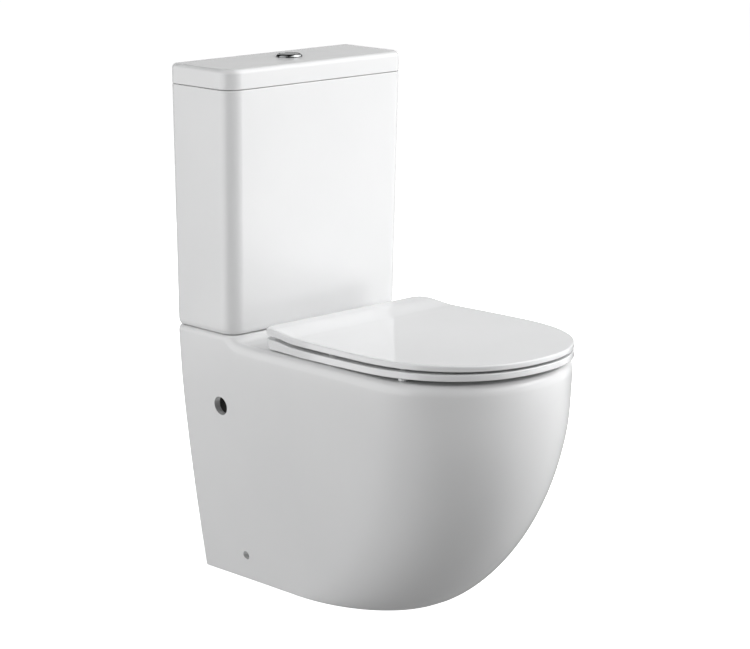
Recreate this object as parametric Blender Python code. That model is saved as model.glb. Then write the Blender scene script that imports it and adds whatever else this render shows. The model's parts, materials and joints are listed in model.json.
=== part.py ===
"""Close coupled toilet: a back-to-wall pan, a cistern bolted on it, and a soft-close seat.

Metres, +Z up. The origin is on the floor, midway between the wall face and the front of the pan,
on the centre plane. +Y points to the wall, -Y to the user. Depths are measured forward from the wall.
"""

from math import cos, pi, radians, sin

import bmesh
import bpy
from mathutils import Vector

# Driving dimensions
OVERALL_DEPTH = 0.620
PROJECTION = 0.613
PAN_WIDTH = 0.364
CISTERN_WIDTH = 0.375
CISTERN_TOP = 0.830
WALL_Y = OVERALL_DEPTH / 2
GAP = 0.0003

# Pan
DECK_Z = 0.403
PLATFORM_Z = 0.4122
PLATFORM_DEPTH = 0.134
COVE_REACH = 0.032
CEILING_Z = 0.388
SKIRT_WALL = 0.011
REAR_WINDOW = (0.112, 0.235)
FLOOR_HALF_WIDTH = 0.1317
FLOOR_REACH = 0.4015
RIM_ROUND = 0.011
BOWL_CENTRE = 0.408
BOWL_HALF_LENGTH = 0.172
BOWL_HALF_WIDTH = 0.134
BOWL_POWER = 2.25
BOWL_WALL = 0.010
FLUSH_BORE = 0.033
TRAP_BORE = 0.0275
DUCT_FLOOR = 0.338
GASKET_Z = 0.392
OUTLET_Z = 0.180
OUTLET_DEPTH = 0.020
SIDE_HOLE = (0.095, 0.294, 0.015)
FOOT_HOLE = (0.112, 0.043, 0.007)

# Cistern
TANK_BOTTOM = 0.4134
TANK_TOP = 0.7976
TANK_FLOOR = 0.4254
TANK_WALL = 0.009
TANK_DEPTHS = (0.134, 0.142)
TANK_WIDTHS = (0.364, CISTERN_WIDTH)
FRONT_CORNER = 0.027
REAR_CORNER = 0.010
LID_BOTTOM = 0.7984
LID_CEILING = 0.819
VALVE_DEPTH = 0.070
BOLT_X = 0.078
INLET_X = -0.115

# Buttons and flush valve
BUTTON_BORE = 0.0162
BUTTON_SPLIT_X = 0.0038
FULL_ROD_X = -0.008
HALF_ROD_X = 0.0095
ROD_FORWARD = 0.004
ROD_FOOT_Z = 0.7445
PIVOT_BACK = 0.018
PIVOT_Z = 0.742
CAGE_TOP = 0.704

# Seat
HINGE_X = 0.0775
HINGE_DEPTH = 0.201
HINGE_Z = 0.414
SEAT_HALF_WIDTH = 0.1776
SEAT_REAR_HALF_WIDTH = 0.1705
SEAT_SHOULDER = 0.4193
SEAT_TIP = OVERALL_DEPTH
SEAT_REAR = 0.193
SEAT_POWER = 2.224
# Each face of the seat: its height behind, its slope towards the tip and its lift over the hinges
RING_BOTTOM = (0.4051, 0.0225, 0.0)
RING_TOP = (0.4170, 0.0170, 0.0038)
SEAT_LID_BOTTOM = (0.4220, 0.0130, 0.0038)
SEAT_LID_TOP = (0.4327, 0.0070, 0.0044)
SLOPE_START = 0.290
LIFT_START = 0.270
LIFT_LENGTH = 0.055

VALVE_Y = WALL_Y - VALVE_DEPTH
HINGE_Y = WALL_Y - HINGE_DEPTH


# ---- helpers ----

def clear_scene():
    for obj in list(bpy.data.objects):
        bpy.data.objects.remove(obj, do_unlink=True)


def make_material(name, colour, roughness, metallic=0.0):
    material = bpy.data.materials.new(name)
    material.use_nodes = True
    shader = material.node_tree.nodes["Principled BSDF"]
    shader.inputs["Base Color"].default_value = (*colour, 1.0)
    shader.inputs["Roughness"].default_value = roughness
    shader.inputs["Metallic"].default_value = metallic
    return material


def finish_mesh(name, mesh_data, material):
    """Turns a bmesh into a named object with its faces pointing out."""
    bmesh.ops.recalc_face_normals(mesh_data, faces=mesh_data.faces)
    mesh = bpy.data.meshes.new(name)
    mesh_data.to_mesh(mesh)
    mesh_data.free()
    mesh.shade_smooth()
    mesh.set_sharp_from_angle(angle=radians(35))
    obj = bpy.data.objects.new(name, mesh)
    bpy.context.scene.collection.objects.link(obj)
    if material:
        obj.data.materials.append(material)
    return obj


def cap(data, row, across):
    """Closes a ring with one face, or with strips across it from each point to its mirror image."""
    if not across:
        data.faces.new(row)
        return
    count = len(row)
    for i in range(count // 2):
        j = (count - i) % count
        corners = [row[i], row[i + 1], row[count - i - 1]]
        if j != i:
            corners.append(row[j])
        data.faces.new(corners)


def loft(name, rings, material=None, closed=False, across=False):
    """A solid skinned over rings of equal length. A closed one joins its last ring to its first."""
    data = bmesh.new()
    rows = [[data.verts.new(point) for point in ring] for ring in rings]
    pairs = list(zip(rows, rows[1:]))
    if closed:
        pairs.append((rows[-1], rows[0]))
    for lower, upper in pairs:
        count = len(lower)
        for i in range(count):
            j = (i + 1) % count
            data.faces.new((lower[i], lower[j], upper[j], upper[i]))
    if not closed:
        cap(data, rows[0], across)
        cap(data, rows[-1], across)
    return finish_mesh(name, data, material)


def lathe(name, profile, material=None, centre=(0.0, 0.0), steps=20):
    """A closed profile of (radius, z) points turned about a vertical axis."""
    data = bmesh.new()
    corners = [data.verts.new((centre[0] + r, centre[1], z)) for r, z in profile]
    edges = [data.edges.new((a, b)) for a, b in zip(corners, corners[1:] + corners[:1])]
    bmesh.ops.spin(data, geom=corners + edges, cent=(*centre, 0.0), axis=(0, 0, 1),
                   angle=2 * pi, steps=steps, use_merge=True)
    bmesh.ops.remove_doubles(data, verts=data.verts, dist=1e-6)
    loose = [edge for edge in data.edges if not edge.link_faces]
    bmesh.ops.delete(data, geom=loose, context="EDGES")
    return finish_mesh(name, data, material)


def ring_solid(name, inner, outer, low, high, material, centre=(0.0, 0.0), steps=20):
    profile = [(inner, low), (outer, low), (outer, high), (inner, high)]
    return lathe(name, profile, material, centre, steps)


def nut_solid(name, bore, outer, low, high, material, centre, sides):
    """A nut with flat sides and a round bore."""
    nut = rod(name, (*centre, low), (*centre, high), outer, material, sides)
    hole = rod(name + "_bore", (*centre, low - 0.005), (*centre, high + 0.005), bore, steps=24)
    return combine(nut, [hole], "DIFFERENCE")


def rod(name, start, end, radius, material=None, steps=16):
    """A round bar between two points."""
    start, end = Vector(start), Vector(end)
    turn = (end - start).to_track_quat("Z", "Y")
    circle = [(radius * cos(2 * pi * i / steps), radius * sin(2 * pi * i / steps), 0) for i in range(steps)]
    rings = [[point + turn @ Vector(corner) for corner in circle] for point in (start, end)]
    return loft(name, rings, material)


def box(name, low, high, material=None):
    outline = [(low[0], low[1]), (high[0], low[1]), (high[0], high[1]), (low[0], high[1])]
    return loft(name, [[(x, y, z) for x, y in outline] for z in (low[2], high[2])], material)


def combine(obj, others, operation):
    """Adds or cuts other solids, which stay in the file as hidden helpers."""
    for other in others:
        other.hide_render = True
        other.display_type = "WIRE"
        change = obj.modifiers.new(other.name, "BOOLEAN")
        change.operation = operation
        change.solver = "EXACT"
        change.object = other
    return obj


def d_outline(half_width, rear_half_width, rear_y, shoulder_y, tip_y, corner, power, nose=12, side=3):
    """A D: a superelliptic nose at -Y, nearly straight sides and a rear edge with round corners."""
    right = []
    for i in range(nose + 1):
        angle = pi / 2 * i / nose
        reach = max(cos(angle), 0.0) ** (2 / power)
        right.append((half_width * sin(angle) ** (2 / power), shoulder_y + (tip_y - shoulder_y) * reach))
    side_end = rear_y - corner
    for i in range(1, side + 1):
        part = i / side
        spread = rear_half_width + (half_width - rear_half_width) * cos(part * pi / 2)
        right.append((spread, shoulder_y + (side_end - shoulder_y) * part))
    for i in range(1, 4):
        angle = pi / 2 * i / 3
        right.append((rear_half_width - corner + corner * cos(angle), side_end + corner * sin(angle)))
    return right + [(-x, y) for x, y in reversed(right[1:])]


def rounded_rectangle(half_width, front_y, rear_y, front_corner, rear_corner, steps=5):
    corners = (
        (half_width - front_corner, front_y + front_corner, front_corner, -90),
        (half_width - rear_corner, rear_y - rear_corner, rear_corner, 0),
        (-half_width + rear_corner, rear_y - rear_corner, rear_corner, 90),
        (-half_width + front_corner, front_y + front_corner, front_corner, 180),
    )
    points = []
    for x, y, radius, start in corners:
        for i in range(steps + 1):
            angle = radians(start + 90 * i / steps)
            points.append((x + radius * cos(angle), y + radius * sin(angle)))
    return points


def at_height(outline, z):
    return [(x, y, z) for x, y in outline]


# ---- the pan ----

def pan_outline(z, inset=0.0, rear_y=WALL_Y):
    """The skirt's outline at a height: the sides lean in to the foot, and the nose sweeps back to it."""
    up = min(max(z / DECK_Z, 0.0), 1.0)
    down = 1.0 - up
    half_width = PAN_WIDTH / 2 - 0.0015 - (PAN_WIDTH / 2 - FLOOR_HALF_WIDTH) * down**1.375 - inset
    sweep = max(1.0 - down**2.466, 0.0) ** 0.8
    reach = FLOOR_REACH + (PROJECTION - FLOOR_REACH) * sweep - inset
    nose = 0.184 - 0.026 * up - 0.6 * inset
    rear_half_width = half_width + 0.0015
    return d_outline(half_width, rear_half_width, rear_y, WALL_Y - reach + nose, WALL_Y - reach,
                     0.008, 2.15)


def skirt_solid(material):
    heights = (0.0, 0.010, 0.030, 0.060, 0.100, 0.150, 0.205, 0.265, 0.325, 0.368, DECK_Z - RIM_ROUND)
    rings = [at_height(pan_outline(z), z) for z in heights]
    for degrees in (35, 65, 90):
        angle = radians(degrees)
        inset = RIM_ROUND * (1 - cos(angle))
        height = DECK_Z - RIM_ROUND + RIM_ROUND * sin(angle)
        rings.append(at_height(pan_outline(DECK_Z, inset), height))
    return loft("pan", rings, material)


def skirt_cavity():
    """The hollow between the skirt and the bowl, open at the floor."""
    heights = (-0.010, 0.0, 0.030, 0.060, 0.100, 0.150, 0.205, 0.265, 0.325, CEILING_Z)
    rings = [at_height(pan_outline(z, SKIRT_WALL, WALL_Y - SKIRT_WALL), z) for z in heights]
    return loft("pan_cavity", rings)


def rear_window():
    """The opening in the lower part of the rear wall, for the drain."""
    return box("rear_window", (-REAR_WINDOW[0], WALL_Y - 0.020, -0.010),
               (REAR_WINDOW[0], WALL_Y + 0.010, REAR_WINDOW[1]))


def platform_rings(levels):
    """Outlines of the cistern's platform at (height, how far its cove reaches, inset)."""
    half_width = PAN_WIDTH / 2 - 0.0005
    front_y = WALL_Y - PLATFORM_DEPTH
    return [at_height(rounded_rectangle(half_width - inset, front_y - grow + inset, WALL_Y - inset,
                                        FRONT_CORNER + grow, 0.008), z)
            for z, grow, inset in levels]


def platform_root():
    """Squares the deck's rim under the platform."""
    return loft("platform_root", platform_rings([(z, COVE_REACH, 0.0) for z in (CEILING_Z + 0.004, DECK_Z)]))


def platform_holes():
    """The flush port and the holes for the supply and the cistern's bolts."""
    holes = [
        rod("gasket_recess", (0, VALVE_Y, GASKET_Z), (0, VALVE_Y, 0.430), 0.046, steps=24),
        rod("inlet_hole", (INLET_X, VALVE_Y, 0.360), (INLET_X, VALVE_Y, 0.430), 0.024),
    ]
    for side in (-1, 1):
        holes.append(rod("bolt_hole", (side * BOLT_X, VALVE_Y, 0.360), (side * BOLT_X, VALVE_Y, 0.430),
                         0.006, steps=12))
    return holes


def pan_platform(material):
    """The raised seat of the cistern, with a cove down to the deck in front of it."""
    climb = PLATFORM_Z - DECK_Z - 0.003
    levels = []
    for degrees in (18, 32, 50, 70, 90):
        angle = radians(degrees)
        levels.append((DECK_Z + climb * (1 - cos(angle)), COVE_REACH * (1 - sin(angle)), 0.0))
    levels.append((PLATFORM_Z - 0.0008, 0.0, 0.001))
    levels.append((PLATFORM_Z, 0.0, 0.003))
    platform = loft("pan_platform", platform_rings(levels), material)
    combine(platform, platform_holes(), "DIFFERENCE")


def bowl_rings(wall, taller=0.0):
    """The bowl from its sump up, grown by a wall thickness. Its wall ends under the deck."""
    shape = (
        # height, centre depth, half length, half width
        (0.105, 0.378, 0.026, 0.026),
        (0.125, 0.380, 0.036, 0.034),
        (0.155, 0.386, 0.055, 0.047),
        (0.190, 0.394, 0.083, 0.067),
        (0.230, 0.403, 0.115, 0.092),
        (0.280, 0.408, 0.146, 0.114),
        (0.330, BOWL_CENTRE, 0.165, 0.128),
        (0.375, BOWL_CENTRE, BOWL_HALF_LENGTH, BOWL_HALF_WIDTH),
    )
    rings = []
    for z, depth, half_length, half_width in shape:
        rings.append((z - wall, depth, half_length + wall, half_width + wall))
    top = CEILING_Z - GAP + taller if wall else DECK_Z
    rings.append((top, BOWL_CENTRE, BOWL_HALF_LENGTH + wall, BOWL_HALF_WIDTH + wall))
    return [at_height(superellipse(half_width, half_length, WALL_Y - depth, BOWL_POWER), z)
            for z, depth, half_length, half_width in rings]


def superellipse(half_width, half_length, centre_y, power, count=32):
    points = []
    for i in range(count):
        angle = 2 * pi * i / count
        x, y = cos(angle), sin(angle)
        points.append((half_width * abs(x) ** (2 / power) * (1 if x > 0 else -1),
                       centre_y + half_length * abs(y) ** (2 / power) * (1 if y > 0 else -1)))
    return points


def trap_tube(name, radius, end_depth):
    """The trapway: down out of the sump, up over the weir, and back to the outlet."""
    stops = [(0.392, 0.150), (0.352, 0.135), (0.306, 0.149), (0.268, 0.195), (0.226, 0.236),
             (0.178, 0.234), (0.130, 0.200), (0.085, 0.182), (end_depth, OUTLET_Z)]
    path = smooth_path([Vector((0, WALL_Y - depth, z)) for depth, z in stops], 2)
    rings = []
    for i, point in enumerate(path):
        ahead = path[min(i + 1, len(path) - 1)] - path[max(i - 1, 0)]
        normal = Vector((0, -ahead.z, ahead.y)).normalized()
        ring = []
        for k in range(16):
            angle = 2 * pi * k / 16
            ring.append(point + Vector((radius * cos(angle), 0, 0)) + normal * radius * sin(angle))
        rings.append(ring)
    return loft(name, rings)


def smooth_path(stops, parts):
    """A Catmull-Rom curve through its stops."""
    path = []
    for i in range(len(stops) - 1):
        before, start = stops[max(i - 1, 0)], stops[i]
        end, after = stops[i + 1], stops[min(i + 2, len(stops) - 1)]
        for k in range(parts):
            t = k / parts
            path.append(0.5 * (2 * start + (end - before) * t
                               + (2 * before - 5 * start + 4 * end - after) * t**2
                               + (3 * start - before - 3 * end + after) * t**3))
    return path + [stops[-1]]


def flush_duct(name, half_width, rear, front, low, high):
    return box(name, (-half_width, WALL_Y - front, low), (half_width, WALL_Y - rear, high))


def pan(material):
    """The outer casting: the skirt and the deck round the bowl's mouth."""
    body = skirt_solid(material)
    combine(body, [skirt_cavity(), rear_window()], "DIFFERENCE")
    combine(body, [platform_root()], "UNION")
    mouth = superellipse(BOWL_HALF_WIDTH, BOWL_HALF_LENGTH, WALL_Y - BOWL_CENTRE, BOWL_POWER)
    cutters = [
        loft("bowl_mouth", [at_height(mouth, z) for z in (0.360, 0.430)]),
        rod("deck_bore", (0, VALVE_Y, 0.360), (0, VALVE_Y, 0.400), FLUSH_BORE, steps=24),
    ] + platform_holes()
    for side in (-1, 1):
        cutters.append(rod("hinge_hole", (side * HINGE_X, HINGE_Y, 0.360), (side * HINGE_X, HINGE_Y, 0.430),
                           0.0055, steps=12))
        for depth, z, radius in (SIDE_HOLE, FOOT_HOLE):
            cutters.append(rod("side_hole", (side * 0.100, WALL_Y - depth, z),
                               (side * 0.200, WALL_Y - depth, z), radius, steps=20))
    return combine(body, cutters, "DIFFERENCE")


def pan_inside(material):
    """The inner castings stuck under the deck: the bowl, the flush duct into it, and its trap and outlet."""
    duct_front = 0.248
    duct_hole = (0.038, 0.034, duct_front, 0.350, 0.377)
    bowl = loft("pan_bowl", bowl_rings(BOWL_WALL), material)
    combine(bowl, [
        loft("bowl_inside", bowl_rings(0.0)),
        trap_tube("trap_inside", TRAP_BORE, 0.060),
        flush_duct("duct_inside", *duct_hole),
    ], "DIFFERENCE")
    duct = flush_duct("pan_flush_duct", 0.050, 0.020, 0.240, DUCT_FLOOR, CEILING_Z - GAP)
    duct.data.materials.append(material)
    combine(duct, [
        loft("duct_end", bowl_rings(BOWL_WALL + GAP, 0.010)),
        flush_duct("duct_bore", *duct_hole),
        rod("flush_bore", (0, VALVE_Y, 0.360), (0, VALVE_Y, 0.400), FLUSH_BORE, steps=24),
    ], "DIFFERENCE")
    trap = trap_tube("pan_trap", TRAP_BORE + 0.0095, 0.060)
    trap.data.materials.append(material)
    combine(trap, [
        rod("outlet_outside", (0, WALL_Y - 0.070, OUTLET_Z), (0, WALL_Y - OUTLET_DEPTH, OUTLET_Z), 0.051,
            steps=24),
        box("trap_web", (-0.006, WALL_Y - 0.230, 0.190), (0.006, WALL_Y - 0.045, DUCT_FLOOR - GAP)),
    ], "UNION")
    combine(trap, [
        loft("trap_mouth", bowl_rings(BOWL_WALL + GAP)),
        trap_tube("trap_bore", TRAP_BORE, 0.060),
        rod("outlet_inside", (0, WALL_Y - 0.064, OUTLET_Z), (0, WALL_Y, OUTLET_Z), 0.0425, steps=24),
    ], "DIFFERENCE")


# ---- the cistern ----

def tank_outline(z, inset=0.0):
    up = (z - TANK_BOTTOM) / (TANK_TOP - TANK_BOTTOM)
    half_width = (TANK_WIDTHS[0] + (TANK_WIDTHS[1] - TANK_WIDTHS[0]) * up) / 2 - inset
    front = TANK_DEPTHS[0] + (TANK_DEPTHS[1] - TANK_DEPTHS[0]) * up - inset
    return rounded_rectangle(half_width, WALL_Y - front, WALL_Y - inset,
                             max(FRONT_CORNER - inset, 0.004), max(REAR_CORNER - inset, 0.003))


def cistern_tank(material):
    edges = ((TANK_BOTTOM, 0.004), (TANK_BOTTOM + 0.0012, 0.0012), (TANK_BOTTOM + 0.004, 0.0),
             (TANK_TOP - 0.001, 0.0), (TANK_TOP, 0.001))
    tank = loft("cistern_tank", [at_height(tank_outline(z, inset), z) for z, inset in edges], material)
    inside = [at_height(tank_outline(z, TANK_WALL + extra), z)
              for z, extra in ((TANK_FLOOR, 0.004), (TANK_FLOOR + 0.006, 0.0), (TANK_TOP + 0.010, 0.0))]
    holes = [
        loft("tank_inside", inside),
        rod("valve_hole", (0, VALVE_Y, 0.400), (0, VALVE_Y, 0.440), 0.030, steps=24),
        rod("inlet_bore", (INLET_X, VALVE_Y, 0.400), (INLET_X, VALVE_Y, 0.440), 0.0115),
    ]
    for side in (-1, 1):
        holes.append(rod("tank_bolt_hole", (side * BOLT_X, VALVE_Y, 0.400), (side * BOLT_X, VALVE_Y, 0.440),
                         0.0055, steps=12))
    return combine(tank, holes, "DIFFERENCE")


def cistern_lid(material):
    edge_round = 0.008
    rings = [at_height(tank_outline(TANK_TOP, 0.001), LID_BOTTOM),
             at_height(tank_outline(TANK_TOP), LID_BOTTOM + 0.001)]
    for degrees in (0, 30, 60, 90):
        angle = radians(degrees)
        height = CISTERN_TOP - edge_round + edge_round * sin(angle)
        rings.append(at_height(tank_outline(TANK_TOP, edge_round * (1 - cos(angle))), height))
    lid = loft("cistern_lid", rings, material)
    rib = [at_height(tank_outline(TANK_TOP, 0.0115), z) for z in (0.7905, 0.802)]
    pocket = [at_height(tank_outline(TANK_TOP, 0.0165), z) for z in (0.785, LID_CEILING)]
    combine(lid, [loft("lid_rib", rib)], "UNION")
    return combine(lid, [
        loft("lid_pocket", pocket),
        rod("button_hole", (0, VALVE_Y, 0.810), (0, VALVE_Y, 0.840), 0.0195, steps=24),
    ], "DIFFERENCE")


# ---- the flush buttons ----

def button_bezel(material):
    profile = [(0, 0.808), (0, 0.806), (0.0188, 0.806), (0.0188, 0.8303), (0.0210, 0.8303), (0.0210, 0.8318),
               (0.0192, 0.8342), (0.0172, 0.8346), (BUTTON_BORE, 0.8338), (BUTTON_BORE, 0.808)]
    bezel = lathe("button_bezel", profile, material, (0, VALVE_Y), 32)
    guides = [rod("rod_guide", (x, VALVE_Y - ROD_FORWARD, 0.800), (x, VALVE_Y - ROD_FORWARD, 0.812),
                  0.0036, steps=12) for x in (FULL_ROD_X, HALF_ROD_X)]
    return combine(bezel, guides, "DIFFERENCE")


def flush_button(name, material, low_x, high_x):
    """The part of a round, slightly domed button between two X limits."""
    bore = BUTTON_BORE - 0.0004
    profile = [(0, 0.8225), (bore, 0.8225), (bore, 0.8335), (bore - 0.0012, 0.8344), (0.008, 0.8350),
               (0, 0.8352)]
    button = lathe(name, profile, material, (0, VALVE_Y), 32)
    part = box(name + "_part", (low_x, VALVE_Y - 0.030, 0.800), (high_x, VALVE_Y + 0.030, 0.850))
    return combine(button, [part], "INTERSECT")


def flush_buttons(chrome, plastic):
    ring_solid("button_nut", 0.0188 + GAP, 0.026, 0.8125, LID_CEILING - GAP, plastic, (0, VALVE_Y), 24)
    button_bezel(chrome)
    flush_button("full_flush_button", chrome, -0.020, BUTTON_SPLIT_X - GAP)
    flush_button("half_flush_button", chrome, BUTTON_SPLIT_X + GAP, 0.020)
    for name, x in (("full_push_rod", FULL_ROD_X), ("half_push_rod", HALF_ROD_X)):
        rod(name, (x, VALVE_Y - ROD_FORWARD, ROD_FOOT_Z), (x, VALVE_Y - ROD_FORWARD, 0.8225 - GAP),
            0.003, plastic, 12)


# ---- the flush valve ----

def flush_valve_base(material):
    profile = [(0.025, 0.375), (0.029, 0.375), (0.029, 0.4288), (0.042, 0.4288), (0.042, 0.433),
               (0.029, 0.433), (0.028, 0.446), (0.025, 0.446)]
    return lathe("flush_valve_base", profile, material, (0, VALVE_Y), 24)


def flush_valve_cage(material):
    """The tower round the plunger, on four legs over the seat, with a slot behind for the lifting arm."""
    profile = [(0.0135, 0.700), (0.031, 0.700), (0.031, 0.480), (0.035, 0.480), (0.035, CAGE_TOP),
               (0.0135, CAGE_TOP)]
    cage = lathe("flush_valve_cage", profile, material, (0, VALVE_Y), 20)
    legs = []
    for side_x, side_y in ((-1, 0), (1, 0), (0, -1), (0, 1)):
        middle = (side_x * 0.0345, VALVE_Y + side_y * 0.0345)
        half = (0.003, 0.006) if side_x else (0.006, 0.003)
        legs.append(box("cage_leg", (middle[0] - half[0], middle[1] - half[1], 0.433 + GAP),
                        (middle[0] + half[0], middle[1] + half[1], 0.500)))
    combine(cage, legs, "UNION")
    slot = box("cage_slot", (-0.006, VALVE_Y + 0.020, 0.560), (0.006, VALVE_Y + 0.050, 0.640))
    return combine(cage, [slot], "DIFFERENCE")


def flush_valve_plunger(material):
    """The overflow tube with its valve disc, and the lifting arm that runs up behind the tower."""
    profile = [(0.009, 0.4463), (0.0115, 0.4463), (0.0115, 0.4496), (0.0285, 0.4496), (0.0285, 0.453),
               (0.0115, 0.456), (0.0115, 0.685), (0.009, 0.685)]
    plunger = lathe("flush_valve_plunger", profile, material, (0, VALVE_Y), 20)
    return combine(plunger, [
        box("arm", (-0.003, VALVE_Y + 0.0100, 0.590), (0.003, VALVE_Y + 0.0445, 0.598)),
        box("arm_bar", (-0.0029, VALVE_Y + 0.0415, 0.591), (0.0029, VALVE_Y + 0.0455, 0.754)),
        box("arm_hook", (-0.0125, VALVE_Y + 0.0385, 0.7475), (0.0025, VALVE_Y + 0.0450, 0.7530)),
    ], "UNION")


def flush_valve_head(material):
    """The plate on the tower with the three ears that hold the rockers' pin."""
    head = ring_solid("flush_valve_head", 0.0140, 0.033, CAGE_TOP + GAP, CAGE_TOP + 0.0035, material,
                      (0, VALVE_Y), 20)
    ears = [box("ear", (low, VALVE_Y + PIVOT_BACK - 0.004, CAGE_TOP + 0.001),
                (high, VALVE_Y + PIVOT_BACK + 0.004, PIVOT_Z + 0.0045))
            for low, high in ((-0.0160, -0.0132), (-0.0028, 0.0043), (0.0147, 0.0175))]
    combine(head, ears, "UNION")
    bore = rod("ear_bore", (-0.030, VALVE_Y + PIVOT_BACK, PIVOT_Z), (0.030, VALVE_Y + PIVOT_BACK, PIVOT_Z),
               0.0018, steps=12)
    return combine(head, [bore], "DIFFERENCE")


def rocker(name, material, x, tail):
    """A lever pressed in front by its push rod. Its tail behind the pin rises."""
    half = 0.0042
    top = ROD_FOOT_Z - 0.0005
    beam = box(name, (x - half, VALVE_Y - 0.0095, top - 0.004), (x + half, VALVE_Y + PIVOT_BACK + 0.004, top),
               material)
    combine(beam, [
        rod(name + "_hub", (x - half + 0.0001, VALVE_Y + PIVOT_BACK, PIVOT_Z),
            (x + half - 0.0001, VALVE_Y + PIVOT_BACK, PIVOT_Z), 0.0038, steps=12),
        box(name + "_tail", (x - half + 0.0005, VALVE_Y + PIVOT_BACK, top - 0.0035),
            (x + half - 0.0005, VALVE_Y + tail, top + 0.0003)),
    ], "UNION")
    bore = rod(name + "_bore", (x - 0.010, VALVE_Y + PIVOT_BACK, PIVOT_Z),
               (x + 0.010, VALVE_Y + PIVOT_BACK, PIVOT_Z), 0.0018, steps=12)
    return combine(beam, [bore], "DIFFERENCE")


def flush_valve(plastic, accent, rubber, steel):
    flush_valve_base(plastic)
    ring_solid("flush_valve_washer", 0.0295, 0.041, TANK_FLOOR + GAP, 0.4288 - GAP, rubber, (0, VALVE_Y), 20)
    nut_solid("flush_valve_locknut", 0.0295, 0.0410, 0.4025, TANK_BOTTOM - GAP, plastic, (0, VALVE_Y), 8)
    ring_solid("tank_gasket", 0.0298, 0.0435, GASKET_Z + GAP, 0.4020, rubber, (0, VALVE_Y), 20)
    flush_valve_cage(plastic)
    flush_valve_plunger(accent)
    ring_solid("flush_valve_seal", 0.0120, 0.0295, 0.446 + GAP, 0.4496 - GAP, rubber, (0, VALVE_Y), 20)
    flush_valve_head(plastic)
    rocker("full_flush_rocker", accent, FULL_ROD_X, 0.0440)
    rocker("half_flush_rocker", accent, HALF_ROD_X, 0.0300)
    rod("rocker_pin", (-0.0163, VALVE_Y + PIVOT_BACK, PIVOT_Z), (0.0178, VALVE_Y + PIVOT_BACK, PIVOT_Z),
        0.0015, steel, 12)


# ---- the fill valve ----

def fill_valve(plastic, accent, rubber, steel):
    place = (INLET_X, VALVE_Y)
    body = lathe("fill_valve_body", [
        (0.005, 0.365), (0.0104, 0.365), (0.0104, 0.429), (0.018, 0.429), (0.018, 0.434), (0.0120, 0.436),
        (0.0120, 0.505), (0.018, 0.505), (0.018, 0.5120), (0.0120, 0.5140), (0.0120, 0.640), (0.0190, 0.645),
        (0.0190, 0.690), (0.015, 0.694), (0, 0.694), (0, 0.688), (0.005, 0.688)], plastic, place, 16)
    port = rod("fill_port", (INLET_X, VALVE_Y + 0.001, 0.660), (INLET_X, VALVE_Y + 0.030, 0.660), 0.004,
               steps=12)
    combine(body, [port], "DIFFERENCE")
    ring_solid("fill_valve_washer", 0.0108, 0.0175, TANK_FLOOR + GAP, 0.429 - GAP, rubber, place, 16)
    nut_solid("fill_valve_locknut", 0.0108, 0.0185, 0.4030, TANK_BOTTOM - GAP, plastic, place, 6)
    lathe("fill_valve_float", [
        (0.0126, 0.5145), (0.0340, 0.5145), (0.0360, 0.518), (0.0360, 0.572), (0.0340, 0.5755),
        (0.0126, 0.5755)], accent, place, 20)
    rod_x, rod_y = INLET_X + 0.0210, VALVE_Y - 0.0258
    rod("float_rod", (rod_x, rod_y, 0.5755 + GAP), (rod_x, rod_y, 0.690), 0.0018, steel, 10)
    arm_pin_x = INLET_X - 0.014
    arm = box("fill_valve_arm", (arm_pin_x - 0.004, VALVE_Y - 0.0232, 0.664),
              (INLET_X + 0.026, VALVE_Y - 0.0202, 0.672), accent)
    hole = rod("arm_bore", (arm_pin_x, VALVE_Y - 0.030, 0.668), (arm_pin_x, VALVE_Y - 0.015, 0.668),
               0.0018, steps=12)
    combine(arm, [hole], "DIFFERENCE")
    rod("fill_valve_pin", (arm_pin_x, VALVE_Y - 0.0150, 0.668), (arm_pin_x, VALVE_Y - 0.0262, 0.668),
        0.0015, steel, 10)


# ---- the bolts that hold the cistern on the pan ----

def tank_bolts(brass, rubber, plastic):
    for side, word in ((-1, "left"), (1, "right")):
        place = (side * BOLT_X, VALVE_Y)
        head = [(0, 0.372), (0.004, 0.372), (0.004, 0.429), (0.010, 0.429), (0.010, 0.4320), (0.007, 0.434),
                (0, 0.434)]
        lathe(f"tank_bolt_{word}", head, brass, place, 12)
        ring_solid(f"tank_bolt_seal_{word}", 0.0045, 0.0135, TANK_FLOOR + GAP, 0.429 - GAP, rubber, place, 12)
        ring_solid(f"tank_bolt_washer_{word}", 0.0045, 0.0120, 0.3857, CEILING_Z - GAP, brass, place, 12)
        nut = ring_solid(f"tank_wing_nut_{word}", 0.004 + GAP, 0.0075, 0.3765, 0.3854, plastic, place, 12)
        wings = [box("wing", (place[0] + way * 0.0110 - 0.0045, VALVE_Y - 0.0015, 0.3775),
                     (place[0] + way * 0.0110 + 0.0045, VALVE_Y + 0.0015, 0.3850)) for way in (-1, 1)]
        combine(nut, wings, "UNION")


# ---- the seat ----

def seat_outline(inset=0.0, rear_inset=0.0, corner=0.018):
    return d_outline(SEAT_HALF_WIDTH - inset, SEAT_REAR_HALF_WIDTH - inset, WALL_Y - SEAT_REAR - rear_inset,
                     WALL_Y - SEAT_SHOULDER, WALL_Y - SEAT_TIP + inset, corner, SEAT_POWER, side=9)


def opening_outline(grow=0.0):
    """The opening of the seat ring, with as many points as the outline round it, in the same order."""
    outer = seat_outline()
    centre_y = WALL_Y - 0.404
    points = []
    for x, y in outer:
        direction = Vector((x / 0.108, (y - centre_y) / 0.1415))
        length = (abs(direction.x) ** 2.3 + abs(direction.y) ** 2.3) ** (1 / 2.3)
        reach = 1 + grow / 0.12
        points.append((x / length * reach, centre_y + (y - centre_y) / length * reach))
    return points


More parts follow.
